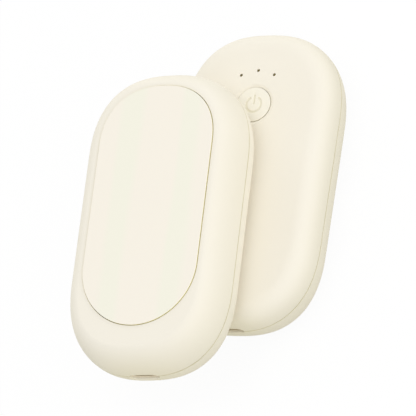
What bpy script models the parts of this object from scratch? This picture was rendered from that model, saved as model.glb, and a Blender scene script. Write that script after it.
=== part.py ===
"""Electric hand warmer: a pair of identical pocket units, one lying on the other.

Each unit is modelled in its own frame: the origin at its middle on the parting plane,
+Z towards the button face and +Y towards the end with the button.
The rear unit lies plate down on the ground. The front unit is turned plate up and lies
on the rear unit's button face, moved towards the port end and a little turned.
"""

import math

import bmesh
import bpy
from mathutils import Matrix

# The casing's outline, seen on its face
BODY_HALF_WIDTH = 0.0255
BODY_STRAIGHT_HALF = 0.0193
BODY_END_REACH = 0.0283
BODY_END_POWER = 2.5

# The casing's two halves, from the parting plane to each face
PLATE_SIDE_HEIGHT = 0.0120
PLATE_SHOULDER_POWER = 1.9
BUTTON_SIDE_HEIGHT = 0.0088
BUTTON_SHOULDER_WIDTH = 0.0070
BUTTON_SHOULDER_POWER = 2.63
WALL = 0.0020
INNER_SHOULDER_SHARE = 0.92

# The parting line and the lip that locates one half in the other
SEAM_GAP = 0.0003
SEAM_CHAMFER = 0.0002
RIM_THICKNESS = 0.0009
LIP_HEIGHT = 0.0015
LIP_CLEARANCE = 0.0003

# The heating plate and what lies under it
PLATE_SIDE_MARGIN = 0.00685
PLATE_END_MARGIN = 0.00945
PLATE_OFFSET = 0.00275
PLATE_BUTTON_END_POWER = 2.3
PLATE_PORT_END_POWER = 2.0
PLATE_THICKNESS = 0.0014
PLATE_PROUD = 0.0004
PLATE_EDGE_BEVEL = 0.00015
PLATE_GROOVE = 0.00025
PLATE_LAND = 0.0005
FILM_THICKNESS = 0.0003
FILM_MARGIN = 0.0010
FLOOR_THICKNESS = 0.0016
TAIL_WIDTH = 0.0060
SENSOR_RADIUS = 0.0008
SENSOR_HEIGHT = 0.0012
SENSOR_FROM_TAIL = 0.0060

# Fits that are used all over
SEAT_GAP = 0.0003
SOLDER_GAP = 0.0001
SMALL_CORNER_RADIUS = 0.0003
CUT_OVERRUN = 0.0010

# The magnets in their cups
MAGNET_RADIUS = 0.0040
MAGNET_THICKNESS = 0.0020
MAGNET_CUP_WALL = 0.0008
MAGNET_CUP_HEIGHT = 0.0018

# The cell, its pad and its leads
PAD_THICKNESS = 0.0010
CELL_PAST_PARTING = 0.0002
CELL_SIDE_SPACE = 0.0008
CELL_CORNER_RADIUS = 0.0022
CELL_EDGE_BEVEL = 0.0008
END_SPACE = 0.0070
LEAD_RADIUS = 0.0006
LEAD_FROM_MIDDLE = 0.0030

# The frame, the board and their screws
FRAME_THICKNESS = 0.0015
FRAME_CORNER_RADIUS = 0.0030
EAR_MARGIN = 0.0014
BOARD_THICKNESS = 0.0010
BOARD_SIDE_SPACE = 0.0085
BOARD_PAST_LEDS = 0.0035
BOARD_TONGUE_HALF_WIDTH = 0.0070
BOARD_TONGUE_LENGTH = 0.0070
BOARD_CORNER_RADIUS = 0.0020
BOARD_END_SPACE = 0.0014
SCREW_RADIUS = 0.0010
SCREW_HEAD_RADIUS = 0.0018
SCREW_HEAD_HEIGHT = 0.0012
SCREW_DEPTH_IN_POST = 0.0024
SCREW_FROM_EDGE = 0.0030
SCREW_CELL_SPACE = 0.0010
POST_RADIUS = 0.0025
POST_BORE_CLEARANCE = 0.0002

# The charging port
SOCKET_HALF_WIDTH = 0.00447
SOCKET_HALF_HEIGHT = 0.00163
SOCKET_WALL = 0.00035
SOCKET_LENGTH = 0.0073
SOCKET_SINK = 0.0006
PORT_CLEARANCE = 0.0003
TONGUE_HALF_WIDTH = 0.00335
TONGUE_HALF_HEIGHT = 0.00035
TONGUE_LENGTH = 0.0052

# The button and its switch
BUTTON_FROM_END = 0.0249
BUTTON_RADIUS = 0.0056
BUTTON_GAP = 0.0003
BUTTON_SINK = 0.00025
BUTTON_EDGE_BEVEL = 0.0003
BUTTON_TRAVEL = 0.0005
FLANGE_WIDTH = 0.0012
FLANGE_THICKNESS = 0.0007
NUB_HEIGHT = 0.0003
DISH_WIDTH = 0.0014
DISH_DEPTH = 0.0004
SYMBOL_RADIUS = 0.0026
SYMBOL_LINE = 0.0007
SYMBOL_DEPTH = 0.0003
SYMBOL_BAR_LENGTH = 0.0028
SYMBOL_OPENING_DEGREES = 70.0
SWITCH_HALF_WIDTH = 0.0031
SWITCH_BASE_SHARE = 0.15
PLUNGER_PROUD = 0.0008
PLUNGER_RADIUS = 0.0016
PLUNGER_CLEARANCE = 0.0003

# The indicator lights
LED_ARC_RADIUS = 0.0111
LED_ARC_DEGREES = 29.8
LED_HALF_LENGTH = 0.0008
LED_HALF_WIDTH = 0.0005
LED_HEIGHT = 0.0007
PIN_RADIUS = 0.0004
PIN_HOLE_CLEARANCE = 0.0001
PIN_SINK = 0.0004
GUIDE_BAR_HALF_WIDTH = 0.0017
GUIDE_BAR_THICKNESS = 0.0010
GUIDE_LEG_RADIUS = 0.0009

# The parts on the board
CHIP_HALF_WIDTH = 0.0020
CHIP_HEIGHT = 0.0009
CHIP_FROM_BUTTON = 0.0230
INDUCTOR_HALF_WIDTH = 0.0029
INDUCTOR_HEIGHT = 0.0026
INDUCTOR_FROM_BUTTON = 0.0330
INDUCTOR_CORNER_RADIUS = 0.0008

# How the front unit lies on the rear one
UNIT_GAP = 0.0003
FRONT_SHIFT_X = -0.0188
FRONT_SHIFT_Y = -0.0206
FRONT_TURN_DEGREES = 2.2

# Counts of steps along the curves, and the angle from which an edge is a sharp one
END_STEPS = 22
OUTER_SHOULDER_STEPS = 5
INNER_SHOULDER_STEPS = 3
ROUND_STEPS = 24
SMALL_ROUND_STEPS = 12
CORNER_STEPS = 3
LEAD_STEPS = 5
SHARP_DEGREES = 38.0

# What follows from the sizes above, in the unit's own frame
body_half_length = BODY_STRAIGHT_HALF + BODY_END_REACH
plate_half_width = BODY_HALF_WIDTH - PLATE_SIDE_MARGIN
plate_end_reach = BODY_END_REACH - PLATE_END_MARGIN
plate_shoulder_width = PLATE_END_MARGIN - PLATE_OFFSET - PLATE_GROOVE - PLATE_LAND

plate_outer_z = -(PLATE_SIDE_HEIGHT + PLATE_PROUD)
plate_inner_z = plate_outer_z + PLATE_THICKNESS
film_outer_z = plate_inner_z + SEAT_GAP
film_inner_z = film_outer_z + FILM_THICKNESS
floor_outer_z = film_inner_z + SEAT_GAP
floor_inner_z = floor_outer_z + FLOOR_THICKNESS
pad_bottom_z = floor_inner_z + SEAT_GAP
cell_bottom_z = pad_bottom_z + PAD_THICKNESS + SEAT_GAP
cell_top_z = CELL_PAST_PARTING
frame_bottom_z = cell_top_z + SEAT_GAP
frame_top_z = frame_bottom_z + FRAME_THICKNESS
board_bottom_z = frame_top_z + SEAT_GAP
board_top_z = board_bottom_z + BOARD_THICKNESS
ceiling_z = BUTTON_SIDE_HEIGHT - WALL

floor_inset = WALL + plate_shoulder_width * INNER_SHOULDER_SHARE
floor_half_width = BODY_HALF_WIDTH - floor_inset
floor_half_length = body_half_length - floor_inset

cup_inner_radius = MAGNET_RADIUS + SEAT_GAP
cup_outer_radius = cup_inner_radius + MAGNET_CUP_WALL
magnet_y = floor_half_length - cup_outer_radius
cell_half_width = floor_half_width - CELL_SIDE_SPACE
cell_half_length = magnet_y - cup_outer_radius - END_SPACE
end_space_y = cell_half_length + END_SPACE / 2

lead_reach = END_SPACE / 2 - SEAT_GAP

board_half_width = BODY_HALF_WIDTH - WALL - BOARD_SIDE_SPACE
screw_x = board_half_width - SCREW_FROM_EDGE
screw_y = cell_half_length + SCREW_HEAD_RADIUS + SCREW_CELL_SPACE
screw_hole_radius = SCREW_RADIUS + SEAT_GAP
post_bottom_z = board_top_z + SEAT_GAP
screw_tip_z = post_bottom_z + SCREW_DEPTH_IN_POST

socket_z = board_bottom_z - SOLDER_GAP - SOCKET_HALF_HEIGHT
socket_front_y = -body_half_length + SOCKET_SINK
board_end_y = -body_half_length + WALL + BOARD_END_SPACE

button_y = body_half_length - BUTTON_FROM_END
button_top_z = BUTTON_SIDE_HEIGHT - BUTTON_SINK
flange_top_z = ceiling_z - SEAT_GAP
flange_bottom_z = flange_top_z - FLANGE_THICKNESS
nub_bottom_z = flange_bottom_z - NUB_HEIGHT
switch_bottom_z = board_top_z + SOLDER_GAP
switch_top_z = nub_bottom_z - PLUNGER_PROUD
bore_bottom_z = switch_bottom_z + (switch_top_z - switch_bottom_z) * SWITCH_BASE_SHARE
plunger_top_z = nub_bottom_z - SOLDER_GAP
plunger_bottom_z = bore_bottom_z + BUTTON_TRAVEL + SEAT_GAP

guide_reach = LED_ARC_RADIUS * math.sin(math.radians(LED_ARC_DEGREES)) + GUIDE_BAR_HALF_WIDTH
guide_top_z = ceiling_z - SEAT_GAP
guide_bottom_z = guide_top_z - GUIDE_BAR_THICKNESS
led_bottom_z = board_top_z + SOLDER_GAP
led_top_z = led_bottom_z + LED_HEIGHT

# Each finish has its linear colour, its roughness and its metallic value
FINISHES = {
    "cream_casing": ((0.905, 0.855, 0.715), 0.42, 0.0),
    "cream_plate": ((0.915, 0.865, 0.735), 0.38, 0.0),
    "cream_button": ((0.890, 0.835, 0.690), 0.45, 0.0),
    "amber_film": ((0.480, 0.190, 0.035), 0.40, 0.0),
    "grey_foam": ((0.090, 0.090, 0.095), 0.90, 0.0),
    "cell_foil": ((0.620, 0.630, 0.640), 0.35, 0.9),
    "red_lead": ((0.500, 0.020, 0.015), 0.50, 0.0),
    "black_lead": ((0.012, 0.012, 0.012), 0.50, 0.0),
    "white_frame": ((0.780, 0.780, 0.750), 0.55, 0.0),
    "green_board": ((0.020, 0.140, 0.060), 0.35, 0.0),
    "steel": ((0.560, 0.560, 0.570), 0.35, 1.0),
    "nickel": ((0.700, 0.690, 0.670), 0.25, 1.0),
    "black_plastic": ((0.015, 0.015, 0.017), 0.50, 0.0),
    "grey_powder": ((0.060, 0.060, 0.065), 0.60, 0.0),
    "clear_olive": ((0.130, 0.120, 0.050), 0.20, 0.0),
    "led_yellow": ((0.800, 0.700, 0.300), 0.30, 0.0),
}


def remove_old_objects():
    """Empty the scene, so that the part starts from nothing."""
    for old in list(bpy.data.objects):
        bpy.data.objects.remove(old, do_unlink=True)


def material(node_name, finish):
    """Give a piece its own material with one of the finishes."""
    colour, roughness, metallic = FINISHES[finish]
    made = bpy.data.materials.new(node_name)
    made.use_nodes = True
    shader = made.node_tree.nodes["Principled BSDF"]
    shader.inputs["Base Color"].default_value = (*colour, 1.0)
    shader.inputs["Roughness"].default_value = roughness
    shader.inputs["Metallic"].default_value = metallic
    made.diffuse_color = (*colour, 1.0)
    return made


def long_outline(half_width, straight_half, end_reach, button_end_power, port_end_power):
    """Outline with straight sides and full ends, counter-clockwise from the button's end."""
    points = []
    for side, power in ((1, button_end_power), (-1, port_end_power)):
        for step in range(END_STEPS + 1):
            angle = math.pi * step / END_STEPS
            cosine = math.cos(angle)
            across = math.copysign(abs(cosine) ** (2 / power), cosine)
            along = abs(math.sin(angle)) ** (2 / power)
            if step in (0, END_STEPS):
                along = 0.0
            points.append((side * half_width * across, side * (straight_half + end_reach * along)))
    return points


def body_outline(inset):
    """The casing's outline, drawn in by an inset."""
    return long_outline(BODY_HALF_WIDTH - inset, BODY_STRAIGHT_HALF, BODY_END_REACH - inset,
                        BODY_END_POWER, BODY_END_POWER)


def plate_outline(outset):
    """The heating plate's outline, grown by an outset and moved towards the button end."""
    centred = long_outline(plate_half_width + outset, BODY_STRAIGHT_HALF, plate_end_reach + outset,
                           PLATE_BUTTON_END_POWER, PLATE_PORT_END_POWER)
    return [(x, y + PLATE_OFFSET) for x, y in centred]


def circle(radius, steps=ROUND_STEPS):
    """A round outline, counter-clockwise."""
    return [(radius * math.cos(2 * math.pi * step / steps),
             radius * math.sin(2 * math.pi * step / steps)) for step in range(steps)]


def rounded_box(half_x, half_y, corner):
    """A rectangle with round corners, counter-clockwise."""
    points = []
    for quarter, (side_x, side_y) in enumerate(((1, 1), (-1, 1), (-1, -1), (1, -1))):
        for step in range(CORNER_STEPS + 1):
            angle = math.pi / 2 * (quarter + step / CORNER_STEPS)
            points.append((side_x * (half_x - corner) + corner * math.cos(angle),
                           side_y * (half_y - corner) + corner * math.sin(angle)))
    return points


def shoulder(width, height, power, steps, start_z=0.0):
    """Profile of a rounded shoulder, as pairs of inset and height, from the side up to the face."""
    pairs = []
    for step in range(steps + 1):
        angle = math.pi / 2 * step / steps
        inset = width - width * math.cos(angle) ** (2 / power) if step < steps else width
        pairs.append((inset, height * math.sin(angle) ** (2 / power)))
    return [(inset, max(z, start_z)) for inset, z in pairs]


def add_object(name, mesh, finish, unit, location=(0.0, 0.0, 0.0)):
    """Put a mesh into the scene as one named piece of a unit, with its own material."""
    mesh.materials.append(material(name, finish))
    piece = bpy.data.objects.new(name, mesh)
    bpy.context.scene.collection.objects.link(piece)
    piece.location = location
    piece.parent = unit
    return piece


def shade(mesh):
    """Shade a mesh smooth, with its true edges kept sharp."""
    mesh.shade_smooth()
    mesh.set_sharp_from_angle(angle=math.radians(SHARP_DEGREES))


def stacked_mesh(name, rings, turn=None):
    """Closed mesh through a stack of outlines, each with as many points, capped at both ends."""
    shape = bmesh.new()
    rows = []
    for outline, z in rings:
        rows.append([shape.verts.new((x, y, z)) for x, y in outline])
    for lower, upper in zip(rows, rows[1:]):
        for index in range(len(lower)):
            following = (index + 1) % len(lower)
            shape.faces.new((lower[index], lower[following], upper[following], upper[index]))
    shape.faces.new(list(reversed(rows[0])))
    shape.faces.new(rows[-1])
    bmesh.ops.recalc_face_normals(shape, faces=shape.faces)
    if turn:
        bmesh.ops.transform(shape, matrix=turn, verts=shape.verts)
    mesh = bpy.data.meshes.new(name)
    shape.to_mesh(mesh)
    shape.free()
    shade(mesh)
    return mesh


def prism(name, outline, low_z, high_z):
    """Straight prism between two heights."""
    return stacked_mesh(name, [(outline, low_z), (outline, high_z)])


def combine(target, other_mesh, operation, location=(0.0, 0.0, 0.0)):
    """Cut a mesh out of a piece, or join it on, and keep the result as the piece's own mesh."""
    other = bpy.data.objects.new("cutter", other_mesh)
    bpy.context.scene.collection.objects.link(other)
    other.hide_render = True
    other.display_type = "WIRE"
    other.parent = target.parent
    other.location = location
    step = target.modifiers.new("combine", "BOOLEAN")
    step.operation = operation
    step.solver = "EXACT"
    step.object = other
    bpy.context.view_layer.update()
    result = bpy.data.meshes.new_from_object(target.evaluated_get(bpy.context.evaluated_depsgraph_get()))
    target.modifiers.remove(step)
    finish = target.data.materials[0]
    old = target.data
    target.data = result
    bpy.data.meshes.remove(old)
    bpy.data.objects.remove(other, do_unlink=True)
    result.materials.clear()
    result.materials.append(finish)
    for face in result.polygons:
        face.material_index = 0
    shade(result)


def cut(target, mesh, location=(0.0, 0.0, 0.0)):
    """Cut a mesh out of a piece."""
    combine(target, mesh, "DIFFERENCE", location)


def join(target, mesh, location=(0.0, 0.0, 0.0)):
    """Join a mesh onto a piece."""
    combine(target, mesh, "UNION", location)


def port_cutter():
    """The mouth of the charging port, a slot with round ends that passes both halves of the wall."""
    half_height = SOCKET_HALF_HEIGHT + PORT_CLEARANCE
    outline = rounded_box(SOCKET_HALF_WIDTH + PORT_CLEARANCE, half_height, half_height)
    depth = SOCKET_LENGTH + CUT_OVERRUN
    along_y = Matrix.Rotation(-math.pi / 2, 4, "X")
    return stacked_mesh("port", [(outline, -CUT_OVERRUN - SOCKET_SINK), (outline, depth)], along_y)


def cut_port(shell):
    """Cut the charging port's mouth."""
    cut(shell, port_cutter(), (0.0, socket_front_y, socket_z))


def make_plate_shell(prefix, unit):
    """Half of the casing with the plate's recess, the floor behind it and the magnets' cups."""
    half_seam = SEAM_GAP / 2
    rebate_z = half_seam + LIP_HEIGHT + LIP_CLEARANCE
    outer = shoulder(plate_shoulder_width, PLATE_SIDE_HEIGHT, PLATE_SHOULDER_POWER,
                     OUTER_SHOULDER_STEPS, half_seam + SEAM_CHAMFER)
    inner = shoulder(plate_shoulder_width * INNER_SHOULDER_SHARE, -floor_inner_z, PLATE_SHOULDER_POWER,
                     INNER_SHOULDER_STEPS, rebate_z)
    profile = list(reversed(outer))
    profile += [(SEAM_CHAMFER, half_seam), (RIM_THICKNESS, half_seam), (RIM_THICKNESS, rebate_z)]
    profile += [(WALL + inset, z) for inset, z in inner]
    rings = [(body_outline(inset), -z) for inset, z in profile]
    shell = add_object(prefix + "plate_shell", stacked_mesh("plate_shell", rings), "cream_casing", unit)
    cut(shell, prism("recess", plate_outline(PLATE_GROOVE), plate_outer_z - CUT_OVERRUN, floor_outer_z))
    slot = rounded_box(TAIL_WIDTH / 2 + SEAT_GAP, FILM_THICKNESS / 2 + SEAT_GAP, FILM_THICKNESS / 2)
    cut(shell, prism("slot", slot, floor_outer_z - CUT_OVERRUN, floor_inner_z + CUT_OVERRUN),
        (0.0, -end_space_y, 0.0))
    sensor_hole = circle(SENSOR_RADIUS + SEAT_GAP, SMALL_ROUND_STEPS)
    cut(shell, prism("sensor_hole", sensor_hole, floor_outer_z - CUT_OVERRUN, floor_inner_z + CUT_OVERRUN),
        (SENSOR_FROM_TAIL, -end_space_y, 0.0))
    for side in (1, -1):
        cup = stacked_mesh("cup", [
            (circle(cup_outer_radius), floor_inner_z - FLOOR_THICKNESS / 2),
            (circle(cup_outer_radius), floor_inner_z + MAGNET_CUP_HEIGHT),
            (circle(cup_inner_radius), floor_inner_z + MAGNET_CUP_HEIGHT),
            (circle(cup_inner_radius), floor_inner_z)])
        join(shell, cup, (0.0, side * magnet_y, 0.0))
    cut_port(shell)


def make_button_shell(prefix, unit):
    """Half of the casing with the button's hole and dish, the pinholes, the lip and the screw posts."""
    half_seam = SEAM_GAP / 2
    lip_outer = RIM_THICKNESS + LIP_CLEARANCE
    outer = shoulder(BUTTON_SHOULDER_WIDTH, BUTTON_SIDE_HEIGHT, BUTTON_SHOULDER_POWER,
                     OUTER_SHOULDER_STEPS, half_seam + SEAM_CHAMFER)
    inner = shoulder(BUTTON_SHOULDER_WIDTH * INNER_SHOULDER_SHARE, ceiling_z, BUTTON_SHOULDER_POWER,
                     INNER_SHOULDER_STEPS)
    profile = list(reversed(outer))
    profile += [(SEAM_CHAMFER, half_seam), (lip_outer, half_seam)]
    profile += [(lip_outer, -LIP_HEIGHT), (WALL, -LIP_HEIGHT)]
    profile += [(WALL + inset, z) for inset, z in inner[1:]]
    rings = [(body_outline(inset), z) for inset, z in profile]
    shell = add_object(prefix + "button_shell", stacked_mesh("button_shell", rings), "cream_casing", unit)
    for side in (1, -1):
        post = stacked_mesh("post", [
            (circle(POST_RADIUS, SMALL_ROUND_STEPS), ceiling_z + WALL / 2),
            (circle(POST_RADIUS, SMALL_ROUND_STEPS), post_bottom_z),
            (circle(SCREW_RADIUS + POST_BORE_CLEARANCE, SMALL_ROUND_STEPS), post_bottom_z),
            (circle(SCREW_RADIUS + POST_BORE_CLEARANCE, SMALL_ROUND_STEPS), screw_tip_z + SEAT_GAP)])
        join(shell, post, (-side * screw_x, side * screw_y, 0.0))
    hole_radius = BUTTON_RADIUS + BUTTON_GAP
    hole = stacked_mesh("button_hole", [
        (circle(hole_radius), ceiling_z - CUT_OVERRUN),
        (circle(hole_radius), BUTTON_SIDE_HEIGHT - DISH_DEPTH),
        (circle(hole_radius + DISH_WIDTH), BUTTON_SIDE_HEIGHT),
        (circle(hole_radius + DISH_WIDTH), BUTTON_SIDE_HEIGHT + CUT_OVERRUN)])
    cut(shell, hole, (0.0, button_y, 0.0))
    pinhole = circle(PIN_RADIUS + PIN_HOLE_CLEARANCE, SMALL_ROUND_STEPS)
    for x, y in led_places():
        drill = prism("pinhole", pinhole, ceiling_z - CUT_OVERRUN, BUTTON_SIDE_HEIGHT + CUT_OVERRUN)
        cut(shell, drill, (x, y, 0.0))
    cut_port(shell)


def led_places():
    """The three lights, on an arc round the button's axis."""
    places = []
    for side in (-1, 0, 1):
        angle = math.radians(side * LED_ARC_DEGREES)
        places.append((LED_ARC_RADIUS * math.sin(angle), button_y + LED_ARC_RADIUS * math.cos(angle)))
    return places


def make_heat_plate(prefix, unit):
    """The plate, a little proud of the casing, its outer edge lightly broken."""
    rings = [(plate_outline(-PLATE_EDGE_BEVEL), plate_outer_z),
             (plate_outline(0.0), plate_outer_z + PLATE_EDGE_BEVEL),
             (plate_outline(0.0), plate_inner_z)]
    add_object(prefix + "heat_plate", stacked_mesh("heat_plate", rings), "cream_plate", unit)


def make_heating_film(prefix, unit):
    """The printed heater behind the plate, with its tail standing up to the board."""
    sheet = prism("heating_film", plate_outline(-FILM_MARGIN), film_outer_z, film_inner_z)
    film = add_object(prefix + "heating_film", sheet, "amber_film", unit)
    tail = rounded_box(TAIL_WIDTH / 2, FILM_THICKNESS / 2, FILM_THICKNESS / 4)
    join(film, prism("tail", tail, film_outer_z + FILM_THICKNESS / 2, board_bottom_z - SEAT_GAP),
         (0.0, -end_space_y, 0.0))


def make_magnets(prefix, unit):
    """The two discs in their cups."""
    for name, side in (("magnet_upper", 1), ("magnet_lower", -1)):
        low = floor_inner_z + SEAT_GAP
        disc = prism(name, circle(MAGNET_RADIUS), low, low + MAGNET_THICKNESS)
        add_object(prefix + name, disc, "nickel", unit, (0.0, side * magnet_y, 0.0))


def make_cell(prefix, unit):
    """The insulating pad, the flat cell on it and the cell's two leads."""
    outline = rounded_box(cell_half_width, cell_half_length, CELL_CORNER_RADIUS)
    pad = prism("insulation_pad", outline, pad_bottom_z, pad_bottom_z + PAD_THICKNESS)
    add_object(prefix + "insulation_pad", pad, "grey_foam", unit)
    drawn_in = rounded_box(cell_half_width - CELL_EDGE_BEVEL, cell_half_length - CELL_EDGE_BEVEL,
                           CELL_CORNER_RADIUS - CELL_EDGE_BEVEL)
    cell = stacked_mesh("battery_cell", [
        (drawn_in, cell_bottom_z), (outline, cell_bottom_z + CELL_EDGE_BEVEL),
        (outline, cell_top_z - CELL_EDGE_BEVEL), (drawn_in, cell_top_z)])
    add_object(prefix + "battery_cell", cell, "cell_foil", unit)
    leads = (("battery_lead_plus", 1, "red_lead"), ("battery_lead_minus", -1, "black_lead"))
    for name, side, finish in leads:
        make_lead(prefix + name, side, finish, unit)


def make_lead(name, side, finish, unit):
    """One lead: out of the cell's end and round a quarter bend up to the board."""
    start_y = cell_half_length + SEAT_GAP
    start_z = (cell_bottom_z + cell_top_z) / 2
    points = []
    for step in range(LEAD_STEPS + 1):
        angle = math.pi / 2 * step / LEAD_STEPS
        points.append((start_y + lead_reach * math.sin(angle), start_z + lead_reach * (1 - math.cos(angle))))
    points.append((start_y + lead_reach, board_bottom_z - SEAT_GAP))
    line = bpy.data.curves.new(name, "CURVE")
    line.dimensions = "3D"
    line.bevel_depth = LEAD_RADIUS
    line.bevel_resolution = 2
    line.use_fill_caps = True
    run = line.splines.new("POLY")
    run.points.add(len(points) - 1)
    for point, (y, z) in zip(run.points, points):
        point.co = (side * LEAD_FROM_MIDDLE, y, z, 1.0)
    return add_object(name, line, finish, unit)


def make_frame(prefix, unit):
    """The moulded plate over the cell, with an ear for each screw."""
    outline = rounded_box(cell_half_width, cell_half_length, FRAME_CORNER_RADIUS)
    plate = prism("inner_frame", outline, frame_bottom_z, frame_top_z)
    frame = add_object(prefix + "inner_frame", plate, "white_frame", unit)
    ear_half_width = SCREW_HEAD_RADIUS + EAR_MARGIN
    ear_low = cell_half_length - ear_half_width
    ear_high = screw_y + ear_half_width
    ear = rounded_box(ear_half_width, (ear_high - ear_low) / 2, ear_half_width / 2)
    ear_y = (ear_high + ear_low) / 2
    for side in (1, -1):
        place = (-side * screw_x, side * screw_y, 0.0)
        join(frame, prism("ear", ear, frame_bottom_z, frame_top_z), (place[0], side * ear_y, 0.0))
        hole = circle(screw_hole_radius, SMALL_ROUND_STEPS)
        cut(frame, prism("screw_hole", hole, frame_bottom_z - CUT_OVERRUN, frame_top_z + CUT_OVERRUN), place)


def make_board(prefix, unit):
    """The circuit board, with a narrow tongue over the charging socket."""
    high_y = led_places()[1][1] + BOARD_PAST_LEDS
    low_y = board_end_y + BOARD_TONGUE_LENGTH
    half_length = (high_y - low_y) / 2
    outline = rounded_box(board_half_width, half_length, BOARD_CORNER_RADIUS)
    panel = prism("circuit_board", outline, board_bottom_z, board_top_z)
    panel.transform(Matrix.Translation((0.0, (high_y + low_y) / 2, 0.0)))
    board = add_object(prefix + "circuit_board", panel, "green_board", unit)
    tongue_half_length = BOARD_TONGUE_LENGTH / 2 + BOARD_CORNER_RADIUS
    tongue = rounded_box(BOARD_TONGUE_HALF_WIDTH, tongue_half_length, BOARD_CORNER_RADIUS / 2)
    join(board, prism("tongue", tongue, board_bottom_z, board_top_z),
         (0.0, board_end_y + tongue_half_length, 0.0))
    for side in (1, -1):
        hole = circle(screw_hole_radius, SMALL_ROUND_STEPS)
        cut(board, prism("screw_hole", hole, board_bottom_z - CUT_OVERRUN, board_top_z + CUT_OVERRUN),
            (-side * screw_x, side * screw_y, 0.0))


def make_screws(prefix, unit):
    """The screws that hold frame and board to the button shell's posts."""
    head_top = frame_bottom_z - SEAT_GAP
    rings = [(circle(SCREW_HEAD_RADIUS, SMALL_ROUND_STEPS), head_top - SCREW_HEAD_HEIGHT),
             (circle(SCREW_HEAD_RADIUS, SMALL_ROUND_STEPS), head_top),
             (circle(SCREW_RADIUS, SMALL_ROUND_STEPS), head_top),
             (circle(SCREW_RADIUS, SMALL_ROUND_STEPS), screw_tip_z)]
    for name, side in (("frame_screw_upper", 1), ("frame_screw_lower", -1)):
        add_object(prefix + name, stacked_mesh(name, rings), "steel", unit,
                   (-side * screw_x, side * screw_y, 0.0))


def make_socket(prefix, unit):
    """The charging socket: a metal sleeve closed at the back, and the contact tongue in it."""
    outer = rounded_box(SOCKET_HALF_WIDTH, SOCKET_HALF_HEIGHT, SOCKET_HALF_HEIGHT)
    inner = rounded_box(SOCKET_HALF_WIDTH - SOCKET_WALL, SOCKET_HALF_HEIGHT - SOCKET_WALL,
                        SOCKET_HALF_HEIGHT - SOCKET_WALL)
    along_y = Matrix.Rotation(-math.pi / 2, 4, "X")
    sleeve = stacked_mesh("usb_socket_shell", [
        (outer, SOCKET_LENGTH), (outer, 0.0), (inner, 0.0), (inner, SOCKET_LENGTH - SOCKET_WALL)], along_y)
    place = (0.0, socket_front_y, socket_z)
    add_object(prefix + "usb_socket_shell", sleeve, "steel", unit, place)
    blade = rounded_box(TONGUE_HALF_WIDTH, TONGUE_HALF_HEIGHT, TONGUE_HALF_HEIGHT / 2)
    back = SOCKET_LENGTH - SOCKET_WALL - SEAT_GAP
    tongue = stacked_mesh("usb_socket_tongue", [(blade, back - TONGUE_LENGTH), (blade, back)], along_y)
    add_object(prefix + "usb_socket_tongue", tongue, "black_plastic", unit, place)


def power_symbol(cap):
    """Sink the ordinary power symbol into the button's top: an open ring with a bar in its opening."""
    low = button_top_z - SYMBOL_DEPTH
    high = button_top_z + CUT_OVERRUN
    inner = SYMBOL_RADIUS - SYMBOL_LINE / 2
    outer = SYMBOL_RADIUS + SYMBOL_LINE / 2
    opening = math.radians(SYMBOL_OPENING_DEGREES)
    start = math.pi / 2 + opening / 2
    sweep = 2 * math.pi - opening
    sections = []
    for step in range(ROUND_STEPS + 1):
        angle = start + sweep * step / ROUND_STEPS
        sections.append([(radius * math.cos(angle), radius * math.sin(angle), z)
                         for radius, z in ((inner, low), (outer, low), (outer, high), (inner, high))])
    shape = bmesh.new()
    rows = [[shape.verts.new(corner) for corner in section] for section in sections]
    for row, following in zip(rows, rows[1:]):
        for index in range(4):
            after = (index + 1) % 4
            shape.faces.new((row[index], row[after], following[after], following[index]))
    shape.faces.new(rows[0])
    shape.faces.new(list(reversed(rows[-1])))
    bmesh.ops.recalc_face_normals(shape, faces=shape.faces)
    ring = bpy.data.meshes.new("symbol_ring")
    shape.to_mesh(ring)
    shape.free()
    place = tuple(cap.location)
    cut(cap, ring, place)
    half_bar = SYMBOL_BAR_LENGTH / 2
    bar = prism("symbol_bar", rounded_box(SYMBOL_LINE / 2, half_bar, SYMBOL_LINE / 4), low, high)
    cut(cap, bar, (place[0], place[1] + half_bar, place[2]))


def make_button(prefix, unit):
    """The cap with its flange and nub, the switch under it and the switch's plunger."""
    axis = (0.0, button_y, 0.0)
    cap_mesh = stacked_mesh("button_cap", [
        (circle(PLUNGER_RADIUS), nub_bottom_z),
        (circle(PLUNGER_RADIUS), flange_bottom_z),
        (circle(BUTTON_RADIUS + FLANGE_WIDTH), flange_bottom_z),
        (circle(BUTTON_RADIUS + FLANGE_WIDTH), flange_top_z),
        (circle(BUTTON_RADIUS), flange_top_z),
        (circle(BUTTON_RADIUS), button_top_z - BUTTON_EDGE_BEVEL),
        (circle(BUTTON_RADIUS - BUTTON_EDGE_BEVEL), button_top_z)])
    cap = add_object(prefix + "button_cap", cap_mesh, "cream_button", unit, axis)
    power_symbol(cap)
    square = rounded_box(SWITCH_HALF_WIDTH, SWITCH_HALF_WIDTH, SMALL_CORNER_RADIUS)
    switch_mesh = prism("switch_body", square, switch_bottom_z, switch_top_z)
    switch = add_object(prefix + "switch_body", switch_mesh, "steel", unit, axis)
    bore = circle(PLUNGER_RADIUS + PLUNGER_CLEARANCE, SMALL_ROUND_STEPS)
    cut(switch, prism("bore", bore, bore_bottom_z, switch_top_z + CUT_OVERRUN), axis)
    stem = circle(PLUNGER_RADIUS, SMALL_ROUND_STEPS)
    plunger = prism("switch_plunger", stem, plunger_bottom_z, plunger_top_z)
    add_object(prefix + "switch_plunger", plunger, "black_plastic", unit, axis)


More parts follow.
